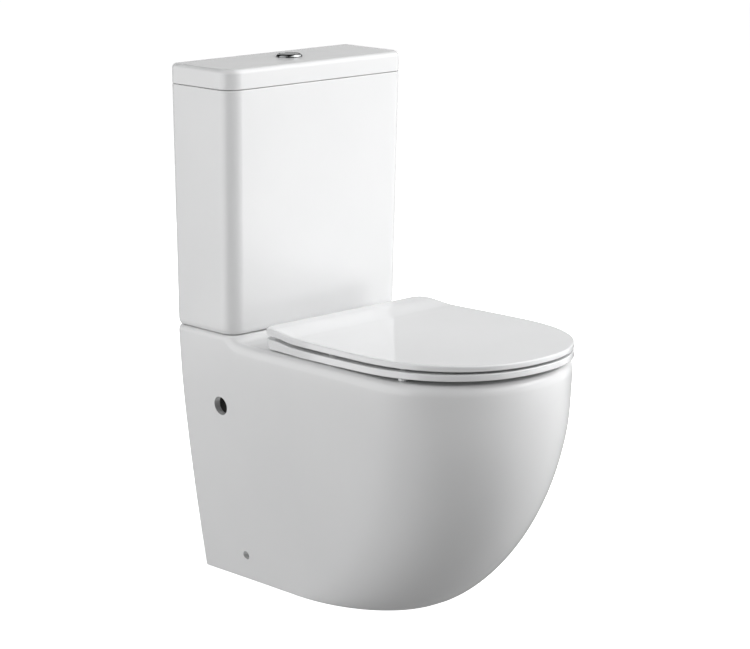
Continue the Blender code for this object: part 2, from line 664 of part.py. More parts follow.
def face_height(face, y):
    """The height of one of the seat's faces: it rises gently to the tip and lifts over the hinges."""
    base, slope, lift = face
    depth = WALL_Y - y
    back = min(max((LIFT_START - depth) / LIFT_LENGTH, 0.0), 1.0)
    return base + slope * max(depth - SLOPE_START, 0.0) + lift * back * back * (3 - 2 * back)


def on_face(outline, face, above=0.0):
    return [(x, y, face_height(face, y) + above) for x, y in outline]


def seat_ring(material):
    profile = [
        on_face(opening_outline(0.003), RING_BOTTOM), on_face(seat_outline(0.0015, 0.0045), RING_BOTTOM),
        on_face(seat_outline(0.0, 0.003), RING_BOTTOM, 0.0015),
        on_face(seat_outline(0.0, 0.001), RING_TOP, -0.0015),
        on_face(seat_outline(0.0015, 0.003), RING_TOP), on_face(opening_outline(0.006), RING_TOP),
        on_face(opening_outline(0.0), RING_TOP, -0.004),
    ]
    ring = loft("seat_ring", profile, material, closed=True)
    knuckles, notches, bores = [], [], []
    for side in (-1, 1):
        inner, outer = side * 0.0575, side * 0.0692
        knuckles.append(rod("ring_knuckle", (inner, HINGE_Y, HINGE_Z), (outer, HINGE_Y, HINGE_Z), 0.0070))
        notches.append(box("ring_notch", (min(side * 0.0692, side * 0.0990), HINGE_Y - 0.0095, 0.400),
                           (max(side * 0.0692, side * 0.0990), HINGE_Y + 0.020, 0.430)))
        bores.append(rod("ring_bore", (side * 0.050, HINGE_Y, HINGE_Z), (side * 0.075, HINGE_Y, HINGE_Z),
                         0.0043, steps=16))
    combine(ring, knuckles, "UNION")
    return combine(ring, notches + bores, "DIFFERENCE")


def seat_lid(material):
    rings = [on_face(seat_outline(inset, inset), face, above) for face, above, inset in
             ((SEAT_LID_BOTTOM, 0.0, 0.002), (SEAT_LID_BOTTOM, 0.002, 0.0), (SEAT_LID_TOP, -0.0035, 0.0),
              (SEAT_LID_TOP, -0.001, 0.001), (SEAT_LID_TOP, 0.0, 0.0035))]
    lid = loft("seat_lid", rings, material, across=True)
    recess = [on_face(seat_outline(0.026, 0.030, 0.012), SEAT_LID_BOTTOM, above)
              for above in (-0.002, 0.0025)]
    combine(lid, [loft("lid_recess", recess, across=True)], "DIFFERENCE")
    neck_top = face_height(SEAT_LID_BOTTOM, HINGE_Y) + 0.003
    knuckles, bores = [], []
    for side in (-1, 1):
        ends = sorted((side * 0.0860, side * 0.0975))
        knuckles.append(rod("lid_knuckle", (ends[0], HINGE_Y, HINGE_Z), (ends[1], HINGE_Y, HINGE_Z), 0.0070))
        knuckles.append(box("lid_neck", (ends[0] + 0.0001, HINGE_Y - 0.0065, HINGE_Z),
                            (ends[1] - 0.0001, HINGE_Y + 0.0062, neck_top)))
        bores.append(rod("lid_bore", (side * 0.080, HINGE_Y, HINGE_Z), (side * 0.105, HINGE_Y, HINGE_Z),
                         0.0043, steps=16))
    combine(lid, knuckles, "UNION")
    return combine(lid, bores, "DIFFERENCE")


def bumpers(rubber):
    """The soft feet under the ring and under the lid."""
    spots = (("rear", 0.162, 0.343), ("front", 0.155, 0.488))
    for side, word in ((-1, "left"), (1, "right")):
        for place, x, depth in spots:
            centre = (side * x, WALL_Y - depth)
            under_ring = face_height(RING_BOTTOM, centre[1] + 0.0070) - GAP
            on_ring = face_height(RING_TOP, centre[1] - 0.0050) + GAP
            under_lid = face_height(SEAT_LID_BOTTOM, centre[1] + 0.0050) - GAP
            lathe(f"ring_bumper_{place}_{word}", [(0, DECK_Z + GAP), (0.0060, DECK_Z + GAP),
                  (0.0070, DECK_Z + 0.0015), (0.0070, under_ring), (0, under_ring)], rubber, centre, 12)
            lathe(f"lid_bumper_{place}_{word}", [(0, on_ring), (0.0040, on_ring), (0.0050, on_ring + 0.0008),
                  (0.0050, under_lid), (0, under_lid)], rubber, centre, 12)


def hinges(chrome, steel, plastic):
    for side, word in ((-1, "left"), (1, "right")):
        place = (side * HINGE_X, HINGE_Y)
        post = lathe(f"hinge_post_{word}", [(0, DECK_Z + GAP), (0.0145, DECK_Z + GAP), (0.0145, 0.4040),
                     (0.0138, 0.4045), (0, 0.4045)], chrome, place, 20)
        ends = (place[0] - 0.0075, place[0] + 0.0075)
        combine(post, [
            box("post_web", (ends[0] + 0.0001, HINGE_Y - 0.0055, 0.4038),
                (ends[1] - 0.0001, HINGE_Y + 0.0055, HINGE_Z)),
            rod("post_eye", (ends[0], HINGE_Y, HINGE_Z), (ends[1], HINGE_Y, HINGE_Z), 0.0065),
        ], "UNION")
        combine(post, [
            rod("post_bore", (ends[0] - 0.005, HINGE_Y, HINGE_Z), (ends[1] + 0.005, HINGE_Y, HINGE_Z),
                0.0043),
        ], "DIFFERENCE")
        rod(f"hinge_pin_{word}", (side * 0.0578, HINGE_Y, HINGE_Z), (side * 0.0972, HINGE_Y, HINGE_Z),
            0.0040, steel)
        rod(f"hinge_bolt_{word}", (*place, 0.362), (*place, DECK_Z), 0.0030, steel, 12)
        nut_solid(f"hinge_nut_{word}", 0.0034, 0.0110, 0.3730, CEILING_Z - GAP, plastic, place, 8)


def main():
    clear_scene()
    ceramic = make_material("glazed_ceramic", (0.86, 0.86, 0.85), 0.08)
    seat_plastic = make_material("seat_plastic", (0.87, 0.87, 0.87), 0.12)
    chrome = make_material("chrome", (0.78, 0.78, 0.80), 0.08, 1.0)
    steel = make_material("steel", (0.62, 0.62, 0.64), 0.30, 1.0)
    brass = make_material("brass", (0.72, 0.55, 0.25), 0.30, 1.0)
    white_plastic = make_material("valve_plastic", (0.80, 0.80, 0.78), 0.45)
    accent_plastic = make_material("accent_plastic", (0.18, 0.32, 0.55), 0.45)
    rubber = make_material("rubber", (0.05, 0.05, 0.05), 0.75)
    soft_white = make_material("bumper_rubber", (0.80, 0.80, 0.78), 0.55)
    pan(ceramic)
    pan_platform(ceramic)
    pan_inside(ceramic)
    cistern_tank(ceramic)
    cistern_lid(ceramic)
    flush_buttons(chrome, white_plastic)
    flush_valve(white_plastic, accent_plastic, rubber, steel)
    fill_valve(white_plastic, accent_plastic, rubber, steel)
    tank_bolts(brass, rubber, white_plastic)
    seat_ring(seat_plastic)
    seat_lid(seat_plastic)
    bumpers(soft_white)
    hinges(chrome, steel, white_plastic)


main()
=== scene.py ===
"""Looks of the close coupled toilet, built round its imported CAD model.

Metres, +Z up, +Y to the wall, in the CAD model's frame. Depths are measured forward from the wall.
"""

import json
from math import cos, hypot, pi, radians, sin

import bmesh
import bpy
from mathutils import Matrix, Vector


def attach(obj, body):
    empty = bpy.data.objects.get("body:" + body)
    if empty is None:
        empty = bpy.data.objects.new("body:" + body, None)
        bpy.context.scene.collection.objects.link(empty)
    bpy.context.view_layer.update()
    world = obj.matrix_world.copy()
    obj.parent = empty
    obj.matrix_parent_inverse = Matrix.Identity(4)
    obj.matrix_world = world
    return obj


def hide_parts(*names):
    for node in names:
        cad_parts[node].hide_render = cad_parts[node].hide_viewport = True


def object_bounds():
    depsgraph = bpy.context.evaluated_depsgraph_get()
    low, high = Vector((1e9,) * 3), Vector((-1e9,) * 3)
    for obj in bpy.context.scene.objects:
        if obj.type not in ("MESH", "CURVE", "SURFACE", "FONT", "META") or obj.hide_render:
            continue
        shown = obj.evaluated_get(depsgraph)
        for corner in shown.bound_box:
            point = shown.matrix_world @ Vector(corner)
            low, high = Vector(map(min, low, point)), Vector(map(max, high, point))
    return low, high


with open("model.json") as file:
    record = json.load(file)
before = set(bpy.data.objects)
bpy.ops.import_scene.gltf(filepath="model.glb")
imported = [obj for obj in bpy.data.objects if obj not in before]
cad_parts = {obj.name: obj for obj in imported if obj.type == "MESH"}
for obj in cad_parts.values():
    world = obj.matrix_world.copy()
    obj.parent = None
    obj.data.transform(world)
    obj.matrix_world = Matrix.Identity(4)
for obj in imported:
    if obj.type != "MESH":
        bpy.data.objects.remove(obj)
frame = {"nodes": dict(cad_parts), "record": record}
NODES = frame["nodes"]
CAD_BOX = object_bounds()

# ---- sizes of the CAD model ----

WALL_Y = CAD_BOX[1].y
VALVE_Y = WALL_Y - 0.070
BOLT_X = 0.078
INLET_X = -0.115

# The pan
PROJECTION = 0.613
PAN_WIDTH = 0.364
FLOOR_HALF_WIDTH = 0.1317
FLOOR_REACH = 0.4015
DECK_Z = 0.403
PLATFORM_Z = 0.4122
PLATFORM_DEPTH = 0.134
CEILING_Z = 0.388
SKIRT_WALL = 0.011
# The powers that bend the skirt's sides and its nose from the floor to the rim
SIDE_BEND = 1.375
NOSE_BEND = (2.466, 0.8)
# How far the pan's edge is rounded, inwards and downwards, round the deck and under the cistern
RIM_ACROSS = 0.011
RIM_DOWN = 0.017
PLATFORM_ACROSS = 0.006
PLATFORM_DOWN = 0.010
# From this height up the skirt follows the rise of the edge above it
FOLLOW_START = 0.33
# Round the platform, how high the gentle slope rises and how far it and the steep cove reach
SLOPE_RISE = 0.0024
SLOPE_REACH = 0.0326
COVE_REACH = 0.0135
COVE_POWER = 2.1
BOWL_CENTRE = 0.408
BOWL_HALF_LENGTH = 0.172
BOWL_HALF_WIDTH = 0.134
BOWL_POWER = 2.25
# The bowl from its sump up: height, depth of its centre, half length, half width
BOWL_STOPS = (
    (0.105, 0.378, 0.026, 0.026),
    (0.125, 0.380, 0.036, 0.034),
    (0.155, 0.386, 0.055, 0.047),
    (0.190, 0.394, 0.083, 0.067),
    (0.230, 0.403, 0.115, 0.092),
    (0.280, 0.408, 0.146, 0.114),
    (0.330, BOWL_CENTRE, 0.165, 0.128),
    (0.375, BOWL_CENTRE, BOWL_HALF_LENGTH, BOWL_HALF_WIDTH),
)
OUTLET_Z = 0.180
# Each hole in the skirt: its depth, height and radius
SIDE_HOLE = (0.095, 0.294, 0.015)
FOOT_HOLE = (0.112, 0.043, 0.007)
# The window in the pan's back: its half width and height
REAR_WINDOW = (0.112, 0.235)
# The heights between which the holes in the deck are cut
DECK_CUT = (0.360, 0.430)

# The cistern
TANK_BOTTOM = 0.4134
TANK_TOP = 0.7976
TANK_FLOOR = 0.4254
TANK_WALL = 0.009
# The tank's depth and width, each at its bottom and at its top
TANK_DEPTHS = (0.134, 0.142)
TANK_WIDTHS = (0.364, 0.375)
FRONT_CORNER = 0.027
REAR_CORNER = 0.010
LID_BOTTOM = 0.7984
LID_CEILING = 0.819
CISTERN_TOP = 0.830
# The heights between which the holes in the tank's floor are cut
FLOOR_CUT = (0.400, 0.440)

# The flush buttons
BUTTON_SPLIT_X = 0.0038
BUTTON_GAP = 0.0003
BUTTON_STEPS = 128
BUTTON_SHARP = 50

# The seat and its hinges
HINGE_X = 0.0775
HINGE_Y = WALL_Y - 0.201
HINGE_Z = 0.414
KNUCKLE_RADIUS = 0.0070
KNUCKLE_BEVEL = 0.0006
PIN_BORE = 0.0043
SEAT_HALF_WIDTH = 0.1776
SEAT_REAR_HALF_WIDTH = 0.1705
SEAT_SHOULDER = 0.4193
SEAT_TIP = 0.620
SEAT_REAR = 0.193
SEAT_POWER = 2.224
# Each face of the seat: its height behind, its slope towards the tip and its lift over the hinges
RING_BOTTOM = (0.4051, 0.0225, 0.0)
RING_TOP = (0.4170, 0.0170, 0.0038)
SEAT_LID_BOTTOM = (0.4220, 0.0130, 0.0038)
SEAT_LID_TOP = (0.4327, 0.0070, 0.0044)
SLOPE_START = 0.290
LIFT_START = 0.270
LIFT_LENGTH = 0.055


# ---- mesh helpers ----

def object_from(name, data, sharp=35):
    """A smooth object from a bmesh, with edges above an angle in degrees left sharp."""
    bmesh.ops.recalc_face_normals(data, faces=data.faces)
    mesh = bpy.data.meshes.new(name)
    data.to_mesh(mesh)
    data.free()
    mesh.shade_smooth()
    mesh.set_sharp_from_angle(angle=radians(sharp))
    obj = bpy.data.objects.new(name, mesh)
    bpy.context.scene.collection.objects.link(obj)
    return obj


def cap(data, row, across):
    """Closes a ring with one face, or with strips across it from each point to its mirror image."""
    if not across:
        data.faces.new(row)
        return
    count = len(row)
    for i in range(count // 2):
        j = (count - i) % count
        corners = [row[i], row[i + 1]]
        if count - i - 1 != i + 1:
            corners.append(row[count - i - 1])
        if j != i:
            corners.append(row[j])
        data.faces.new(corners)


def loft(name, rings, closed=False, sharp=35, across=False):
    """A solid skinned over rings of equal length. A closed one joins its last ring to its first."""
    data = bmesh.new()
    rows = [[data.verts.new(point) for point in ring] for ring in rings]
    pairs = list(zip(rows, rows[1:]))
    if closed:
        pairs.append((rows[-1], rows[0]))
    for lower, upper in pairs:
        count = len(lower)
        for i in range(count):
            j = (i + 1) % count
            data.faces.new((lower[i], lower[j], upper[j], upper[i]))
    if not closed:
        cap(data, rows[0], across)
        cap(data, rows[-1], across)
    return object_from(name, data, sharp)


def lathe(name, profile, centre, steps=96, sharp=35):
    """A closed profile of (radius, z) points turned about a vertical axis."""
    data = bmesh.new()
    corners = [data.verts.new((centre[0] + r, centre[1], z)) for r, z in profile]
    edges = [data.edges.new(pair) for pair in zip(corners, corners[1:] + corners[:1])]
    bmesh.ops.spin(data, geom=corners + edges, cent=(*centre, 0.0), axis=(0, 0, 1), angle=2 * pi,
                   steps=steps, use_merge=True)
    bmesh.ops.remove_doubles(data, verts=data.verts, dist=1e-6)
    bmesh.ops.delete(data, geom=[edge for edge in data.edges if not edge.link_faces], context="EDGES")
    return object_from(name, data, sharp)


def tube(name, start, end, radius, steps=48, bevel=0.0):
    """A round bar between two points, with its ends eased by a bevel."""
    start, end = Vector(start), Vector(end)
    along = (end - start).normalized()
    turn = along.to_track_quat("Z", "Y")
    stops = [(start, radius), (end, radius)]
    if bevel:
        stops = []
        for base, way in ((start, 1), (end, -1)):
            eased = [(base + along * way * bevel * (1 - sin(a)), radius - bevel * (1 - cos(a)))
                     for a in (radians(90), radians(60), radians(30), 0)]
            stops += eased if way == 1 else list(reversed(eased))
    angles = [2 * pi * i / steps for i in range(steps)]
    rings = [[centre + turn @ Vector((size * cos(angle), size * sin(angle), 0)) for angle in angles]
             for centre, size in stops]
    return loft(name, rings)


def block(name, low, high):
    """A box between two opposite corners."""
    outline = [(low[0], low[1]), (high[0], low[1]), (high[0], high[1]), (low[0], high[1])]
    return loft(name, [[(x, y, z) for x, y in outline] for z in (low[2], high[2])])


def combine(obj, others, operation, sharp=35):
    """Joins or cuts with other solids, applies the result and removes them."""
    for other in others:
        change = obj.modifiers.new(other.name, "BOOLEAN")
        change.operation = operation
        change.solver = "MANIFOLD"
        change.object = other
    graph = bpy.context.evaluated_depsgraph_get()
    mesh = bpy.data.meshes.new_from_object(obj.evaluated_get(graph))
    obj.modifiers.clear()
    obj.data = mesh
    mesh.shade_smooth()
    mesh.set_sharp_from_angle(angle=radians(sharp))
    for other in others:
        bpy.data.objects.remove(other, do_unlink=True)
    return obj


def ease_normals(obj):
    """Lets big flat faces keep their own normals beside the small faces of a rounded edge."""
    change = obj.modifiers.new("flat_faces", "WEIGHTED_NORMAL")
    change.keep_sharp = True
    change.weight = 60
    return obj


def at_height(outline, z):
    """Lifts a flat outline to a height."""
    return [(x, y, z) for x, y in outline]


# ---- outlines ----

def d_outline(half_width, rear_half_width, rear_y, shoulder_y, tip_y, corner, power,
              nose=48, side=90, bend=6, back=30):
    """A D: a superelliptic nose at -Y, nearly straight sides and a rear edge with round corners."""
    right = []
    for i in range(nose + 1):
        angle = pi / 2 * i / nose
        reach = max(cos(angle), 0.0) ** (2 / power)
        right.append((half_width * sin(angle) ** (2 / power), shoulder_y + (tip_y - shoulder_y) * reach))
    side_end = rear_y - corner
    for i in range(1, side + 1):
        part = i / side
        spread = rear_half_width + (half_width - rear_half_width) * cos(part * pi / 2)
        right.append((spread, shoulder_y + (side_end - shoulder_y) * part))
    for i in range(1, bend + 1):
        angle = pi / 2 * i / bend
        right.append((rear_half_width - corner + corner * cos(angle), side_end + corner * sin(angle)))
    for i in range(1, back):
        right.append(((rear_half_width - corner) * (1 - i / back), rear_y))
    middle = [(0.0, rear_y)]
    return right + middle + [(-x, y) for x, y in reversed(right[1:])]


def rounded_rectangle(half_width, front_y, rear_y, front_corner, rear_corner, steps=16):
    """A rectangle with one corner radius in front and another behind."""
    corners = (
        (half_width - front_corner, front_y + front_corner, front_corner, -90),
        (half_width - rear_corner, rear_y - rear_corner, rear_corner, 0),
        (-half_width + rear_corner, rear_y - rear_corner, rear_corner, 90),
        (-half_width + front_corner, front_y + front_corner, front_corner, 180),
    )
    points = []
    for x, y, radius, start in corners:
        for i in range(steps + 1):
            angle = radians(start + 90 * i / steps)
            points.append((x + radius * cos(angle), y + radius * sin(angle)))
    return points


def superellipse(half_width, half_length, centre_y, power, count=128):
    """An oval that a power above 2 makes squarer."""
    points = []
    for i in range(count):
        angle = 2 * pi * i / count
        x, y = cos(angle), sin(angle)
        points.append((half_width * abs(x) ** (2 / power) * (1 if x > 0 else -1),
                       centre_y + half_length * abs(y) ** (2 / power) * (1 if y > 0 else -1)))
    return points


def smooth_path(stops, parts):
    """A Catmull-Rom curve through its stops, which are tuples of numbers."""
    path = []
    for i in range(len(stops) - 1):
        before, start = stops[max(i - 1, 0)], stops[i]
        end, after = stops[i + 1], stops[min(i + 2, len(stops) - 1)]
        for k in range(parts):
            t = k / parts
            path.append(tuple(
                0.5 * (2 * b + (c - a) * t + (2 * a - 5 * b + 4 * c - d) * t**2
                       + (3 * b - a - 3 * c + d) * t**3)
                for a, b, c, d in zip(before, start, end, after)))
    return path + [stops[-1]]


def smooth_step(value, start, end):
    """Rises smoothly from 0 to 1 between two values."""
    part = min(max((value - start) / (end - start), 0.0), 1.0)
    return part * part * (3 - 2 * part)


# ---- the pan ----

def pan_outline(z, inset=0.0, rear_y=WALL_Y):
    """The skirt's outline at a height: the sides lean in to the foot, and the nose sweeps back to it."""
    up = min(max(z / DECK_Z, 0.0), 1.0)
    down = 1.0 - up
    half_width = PAN_WIDTH / 2 - 0.0015 - (PAN_WIDTH / 2 - FLOOR_HALF_WIDTH) * down**SIDE_BEND - inset
    sweep = max(1.0 - down**NOSE_BEND[0], 0.0) ** NOSE_BEND[1]
    reach = FLOOR_REACH + (PROJECTION - FLOOR_REACH) * sweep - inset
    nose = 0.184 - 0.026 * up - 0.6 * inset
    power = 2.15 - 0.10 * smooth_step(z, 0.290, 0.370)
    return d_outline(half_width, half_width + 0.0015, rear_y, WALL_Y - reach + nose, WALL_Y - reach,
                     max(0.008 - inset / 2, 0.002), power)


def top_height(x, y):
    """The deck, and the cove that rises from it to the cistern's platform."""
    beyond_x = abs(x) - (PAN_WIDTH / 2 - FRONT_CORNER)
    beyond_y = (WALL_Y - PLATFORM_DEPTH + FRONT_CORNER) - y
    if beyond_x <= 0:
        away = beyond_y - FRONT_CORNER
    elif beyond_y <= 0:
        away = beyond_x - FRONT_CORNER
    else:
        away = hypot(beyond_x, beyond_y) - FRONT_CORNER
    away = max(away, 0.0)
    slope = SLOPE_RISE * max(0.0, 1 - away / SLOPE_REACH)
    cove = (PLATFORM_Z - DECK_Z - SLOPE_RISE) * max(0.0, 1 - away / COVE_REACH) ** COVE_POWER
    return DECK_Z + slope + cove


def skirt_rings(base, edge_height, down, steps=64):
    """The foot with its small bevel, and the skirt up to where the rim starts to round."""
    rings = [at_height(pan_outline(0.0, 0.0014), 0.0), at_height(pan_outline(0.0, 0.0004), 0.0004),
             at_height(pan_outline(0.0014), 0.0014)]
    for k in range(1, steps + 1):
        level = base * (0.006 + 0.994 * k / steps)
        follow = max(0.0, (level - FOLLOW_START) / (base - FOLLOW_START))
        rings.append([(x, y, level + (height - drop - base) * follow)
                      for (x, y), height, drop in zip(pan_outline(level), edge_height, down)])
    return rings


def rim_rings(base, deck_outline, across, down, turns=14):
    """The rounded edge between the skirt and the deck."""
    rings = []
    start = pan_outline(base)
    for k in range(1, turns + 1):
        angle = pi / 2 * k / turns
        lean = sin(angle)
        full = pan_outline(DECK_Z, RIM_ACROSS * (1 - cos(angle)), WALL_Y - 0.0050 * (1 - cos(angle)))
        ring = []
        for (x0, y0), (xs, ys), (x1, y1), reach, drop in zip(deck_outline, start, full, across, down):
            part = reach / RIM_ACROSS
            x = xs + (x0 - xs) * lean + (x1 - x0) * part
            y = ys + (y0 - ys) * lean + (y1 - y0) * part
            ring.append((x, y, top_height(x, y) - drop * (1 - lean)))
        rings.append(ring)
    return rings


def deck_rings(edge, count=100):
    """The deck, from its edge in to an oval that the bowl's mouth cuts away."""
    centre_y = WALL_Y - BOWL_CENTRE
    inner = []
    for x, y, _ in edge:
        across = abs(x / (0.78 * BOWL_HALF_WIDTH))
        along = abs((y - centre_y) / (0.78 * BOWL_HALF_LENGTH))
        length = (across ** 2.2 + along ** 2.2) ** (1 / 2.2)
        inner.append((x / length, centre_y + (y - centre_y) / length))
    rings = []
    for k in range(1, count + 1):
        part = k / count
        ring = []
        for (x0, y0, _), (x1, y1) in zip(edge, inner):
            x = x0 + (x1 - x0) * part
            y = y0 + (y1 - y0) * part
            ring.append((x, y, top_height(x, y)))
        rings.append(ring)
    return rings


def pan_shell():
    """The glazed outside of the pan in one skin: foot, skirt, rounded rim, deck, cove and platform."""
    base = DECK_Z - RIM_DOWN
    deck_outline = pan_outline(DECK_Z)
    edge_height = [top_height(x, y) for x, y in deck_outline]
    share = [(height - DECK_Z) / (PLATFORM_Z - DECK_Z) for height in edge_height]
    across = [RIM_ACROSS + (PLATFORM_ACROSS - RIM_ACROSS) * part for part in share]
    down = [RIM_DOWN + (PLATFORM_DOWN - RIM_DOWN) * part for part in share]
    rings = skirt_rings(base, edge_height, down) + rim_rings(base, deck_outline, across, down)
    return loft("pan_ceramic", rings + deck_rings(rings[-1]))


def bowl_rings(wall):
    """The bowl from its sump to its mouth, grown by a wall. The inside flares into a rounded mouth."""
    rings = []
    path = smooth_path(BOWL_STOPS, 7)
    first = path[0]
    if not wall:
        for shrink, drop in ((0.35, 0.0042), (0.62, 0.0032), (0.85, 0.0014)):
            rings.append((first[0] - drop, first[1], first[2] * shrink, first[3] * shrink))
    for z, depth, half_length, half_width in path:
        rings.append((z - wall, depth, half_length + wall, half_width + wall))
    if wall:
        rings.append((CEILING_Z + 0.004, BOWL_CENTRE, BOWL_HALF_LENGTH + wall, BOWL_HALF_WIDTH + wall))
    else:
        lip = 0.007
        for k in range(9):
            angle = pi / 2 * k / 8
            grow = lip * (1 - cos(angle))
            rings.append((DECK_Z - lip + lip * sin(angle), BOWL_CENTRE,
                          BOWL_HALF_LENGTH + grow, BOWL_HALF_WIDTH + grow))
        rings.append((DECK_Z + 0.020, BOWL_CENTRE, BOWL_HALF_LENGTH + 0.040, BOWL_HALF_WIDTH + 0.040))
    return [at_height(superellipse(half_width, half_length, WALL_Y - depth, BOWL_POWER), z)
            for z, depth, half_length, half_width in rings]


def trap_tube(name, radius, end_depth):
    """The trapway: down out of the sump, up over the weir, and back to the outlet."""
    stops = [(0.392, 0.150), (0.352, 0.135), (0.306, 0.149), (0.268, 0.195), (0.226, 0.236),
             (0.178, 0.234), (0.130, 0.200), (0.085, 0.182), (end_depth, OUTLET_Z)]
    path = [Vector((0, WALL_Y - depth, z)) for depth, z in smooth_path(stops, 7)]
    angles = [2 * pi * k / 40 for k in range(40)]
    rings = []
    for i, point in enumerate(path):
        ahead = path[min(i + 1, len(path) - 1)] - path[max(i - 1, 0)]
        normal = Vector((0, -ahead.z, ahead.y)).normalized()
        rings.append([point + Vector((radius * cos(angle), 0, 0)) + normal * radius * sin(angle)
                      for angle in angles])
    return loft(name, rings)


def duct(name, half_width, rear, front, low, high):
    """A box on the middle line, from one depth to another."""
    return block(name, (-half_width, WALL_Y - front, low), (half_width, WALL_Y - rear, high))


def china(obj, bare=False):
    """Gives a solid the pan's two materials. A bare one has all its faces in unglazed clay, darkened with
    painted shade.
    """
    for material in (MATERIALS["glazed_ceramic"], SHADED_UNGLAZED_CLAY):
        obj.data.materials.append(material)
    for face in obj.data.polygons:
        face.material_index = 1 if bare else 0
    return obj


# Gives a solid the unglazed clay, whose dark colour is painted shade.
def unglazed(obj):
    return china(obj, bare=True)


def bore(name, x, y, low, high, radius, steps=48):
    """An upright cutter."""
    return tube(name, (x, y, low), (x, y, high), radius, steps)


def make_pan():
    """The pan in one piece of china, glazed wherever water or a hand gets to it."""
    heights = [-0.010] + [CEILING_Z * k / 30 for k in range(31)]
    cavity = loft("cavity", [at_height(pan_outline(z, SKIRT_WALL, WALL_Y - SKIRT_WALL), z)
                             for z in heights])
    window = block("rear_window", (-REAR_WINDOW[0], WALL_Y - 0.020, -0.010),
                   (REAR_WINDOW[0], WALL_Y + 0.010, REAR_WINDOW[1]))
    body = china(pan_shell())
    combine(body, [unglazed(cavity), unglazed(window)], "DIFFERENCE")
    combine(body, [unglazed(solid) for solid in (
        loft("bowl_outside", bowl_rings(0.010)),
        trap_tube("trap_outside", 0.037, 0.060),
        tube("outlet_outside", (0, WALL_Y - 0.070, OUTLET_Z), (0, WALL_Y - 0.020, OUTLET_Z), 0.051, 72,
             0.002),
        duct("duct_outside", 0.050, 0.020, 0.240, 0.338, CEILING_Z + 0.004),
        block("trap_web", (-0.006, WALL_Y - 0.230, 0.190), (0.006, WALL_Y - 0.045, 0.342)),
    )], "UNION")
    cutters = [
        loft("bowl_inside", bowl_rings(0.0)),
        trap_tube("trap_inside", 0.0275, 0.060),
        tube("outlet_inside", (0, WALL_Y - 0.064, OUTLET_Z), (0, WALL_Y, OUTLET_Z), 0.0425, 72),
        duct("duct_inside", 0.038, 0.034, 0.248, 0.350, 0.377),
        bore("flush_bore", 0, VALVE_Y, 0.360, 0.400, 0.033, 64),
        bore("gasket_recess", 0, VALVE_Y, 0.392, 0.430, 0.046, 64),
        bore("inlet_hole", INLET_X, VALVE_Y, *DECK_CUT, 0.024),
    ]
    for side in (-1, 1):
        cutters.append(bore("bolt_hole", side * BOLT_X, VALVE_Y, *DECK_CUT, 0.006))
        cutters.append(bore("hinge_hole", side * HINGE_X, HINGE_Y, *DECK_CUT, 0.0055))
        for depth, z, radius in (SIDE_HOLE, FOOT_HOLE):
            y = WALL_Y - depth
            cutters.append(tube("side_hole", (side * 0.100, y, z), (side * 0.200, y, z), radius))
    combine(body, cutters, "DIFFERENCE")
    return ease_normals(body)


# ---- the cistern ----

def tank_outline(z, inset=0.0):
    """The tank's outline at a height: it widens and deepens upwards."""
    up = (z - TANK_BOTTOM) / (TANK_TOP - TANK_BOTTOM)
    half_width = (TANK_WIDTHS[0] + (TANK_WIDTHS[1] - TANK_WIDTHS[0]) * up) / 2 - inset
    front = TANK_DEPTHS[0] + (TANK_DEPTHS[1] - TANK_DEPTHS[0]) * up - inset
    return rounded_rectangle(half_width, WALL_Y - front, WALL_Y - inset,
                             max(FRONT_CORNER - inset, 0.004), max(REAR_CORNER - inset, 0.003))


def make_tank():
    """The hollow tank, rounded at its foot and eased at its open top."""
    across = 0.0060
    up = 0.0100
    top_round = 0.0012
    rings = []
    for k in range(9):
        angle = pi / 2 * k / 8
        z = TANK_BOTTOM + up * (1 - cos(angle))
        rings.append(at_height(tank_outline(z, across * (1 - sin(angle))), z))
    for k in range(1, 24):
        z = TANK_BOTTOM + up + (TANK_TOP - TANK_BOTTOM - up - top_round) * k / 24
        rings.append(at_height(tank_outline(z), z))
    for k in range(5):
        angle = pi / 2 * k / 4
        z = TANK_TOP - top_round * (1 - sin(angle))
        rings.append(at_height(tank_outline(z, top_round * (1 - cos(angle))), z))
    tank = loft("cistern_ceramic", rings)
    levels = ((TANK_FLOOR, TANK_WALL + 0.004), (TANK_FLOOR + 0.0018, TANK_WALL + 0.0018),
              (TANK_FLOOR + 0.006, TANK_WALL), (TANK_TOP + 0.010, TANK_WALL))
    holes = [
        loft("tank_inside", [at_height(tank_outline(z, wall), z) for z, wall in levels]),
        bore("valve_hole", 0, VALVE_Y, *FLOOR_CUT, 0.030),
        bore("inlet_bore", INLET_X, VALVE_Y, *FLOOR_CUT, 0.0115),
    ]
    for side in (-1, 1):
        holes.append(bore("tank_bolt_hole", side * BOLT_X, VALVE_Y, *FLOOR_CUT, 0.0055))
    return ease_normals(combine(tank, holes, "DIFFERENCE"))


